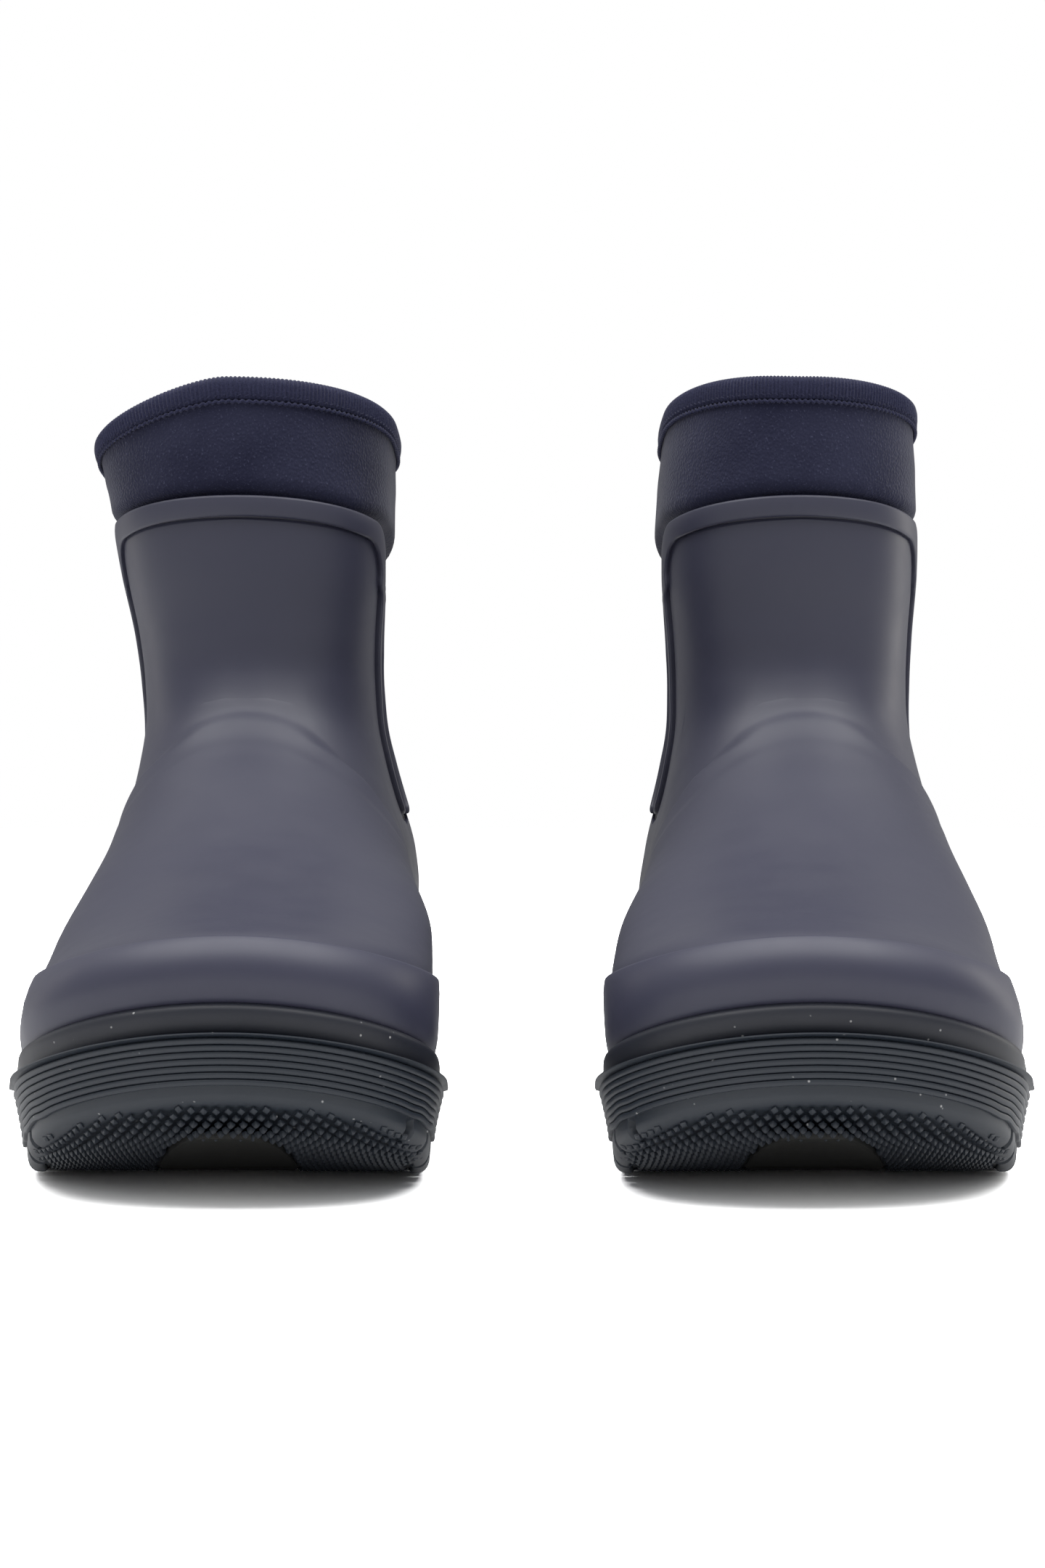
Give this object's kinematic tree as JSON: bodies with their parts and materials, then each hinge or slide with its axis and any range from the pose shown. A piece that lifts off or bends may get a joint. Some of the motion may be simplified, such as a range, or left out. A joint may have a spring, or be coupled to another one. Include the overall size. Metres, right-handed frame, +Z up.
{
  "type": "pair of deck boots",
  "caption": "Pair of ankle-high deck boots for sailing: rubber upper over a neoprene bootee with a knit-bound cuff, side gores, toe bumper and siped wrap-up sole.",
  "frame": {"origin": "on the ground, midway between the two boots and at the middle of their soles' length", "axes": "+Z up, toes towards -Y, +X towards the wearer's left boot"},
  "size_m": [0.2602, 0.2996, 0.2126],
  "materials": {
    "sole_rubber": "matte",
    "filler_sponge": "matte",
    "insole_fibreboard": "matte",
    "footbed_fabric": "matte",
    "neoprene_jersey": "matte",
    "knit_binding": "matte",
    "sewing_thread": "satin",
    "upper_rubber": "satin",
    "bumper_rubber": "satin",
    "rim_rubber": "satin",
    "gore_elastic": "matte"
  },
  "bodies": {
    "left_boot": {"left_outsole": "sole_rubber", "left_foxing": "sole_rubber", "left_welt": "sole_rubber", "left_filler": "filler_sponge", "left_insole_board": "insole_fibreboard", "left_bootee": "neoprene_jersey", "left_cuff_binding": "knit_binding", "left_cuff_cord": "knit_binding", "left_cuff_stitching": "sewing_thread", "left_vamp": "upper_rubber", "left_bumper": "bumper_rubber", "left_counter": "upper_rubber", "left_quarter": "upper_rubber", "left_rear_panel": "upper_rubber", "left_front_rim": "rim_rubber", "left_rear_rim": "rim_rubber", "left_outer_gore": "gore_elastic", "left_inner_gore": "gore_elastic"},
    "left_insole": {"left_footbed": "footbed_fabric"},
    "right_boot": {"right_outsole": "sole_rubber", "right_foxing": "sole_rubber", "right_welt": "sole_rubber", "right_filler": "filler_sponge", "right_insole_board": "insole_fibreboard", "right_bootee": "neoprene_jersey", "right_cuff_binding": "knit_binding", "right_cuff_cord": "knit_binding", "right_cuff_stitching": "sewing_thread", "right_vamp": "upper_rubber", "right_bumper": "bumper_rubber", "right_counter": "upper_rubber", "right_quarter": "upper_rubber", "right_rear_panel": "upper_rubber", "right_front_rim": "rim_rubber", "right_rear_rim": "rim_rubber", "right_outer_gore": "gore_elastic", "right_inner_gore": "gore_elastic"},
    "right_insole": {"right_footbed": "footbed_fabric"}
  },
  "joints": [
    {"name": "right_boot_lift", "type": "slide", "parent": "left_boot", "child": "right_boot", "axis": [0, 0, 1], "range_m": [0, 0.15]},
    {"name": "left_footbed_peel", "type": "hinge", "parent": "left_boot", "child": "left_insole", "pos_m": [0.06705, -0.1358, 0.0475], "axis": [0.9998, 0.0175, 0], "range_deg": [0, 5]},
    {"name": "right_footbed_peel", "type": "hinge", "parent": "right_boot", "child": "right_insole", "pos_m": [-0.06791, -0.13588, 0.0475], "axis": [0.9997, -0.0262, 0], "range_deg": [0, 5]}
  ]
}
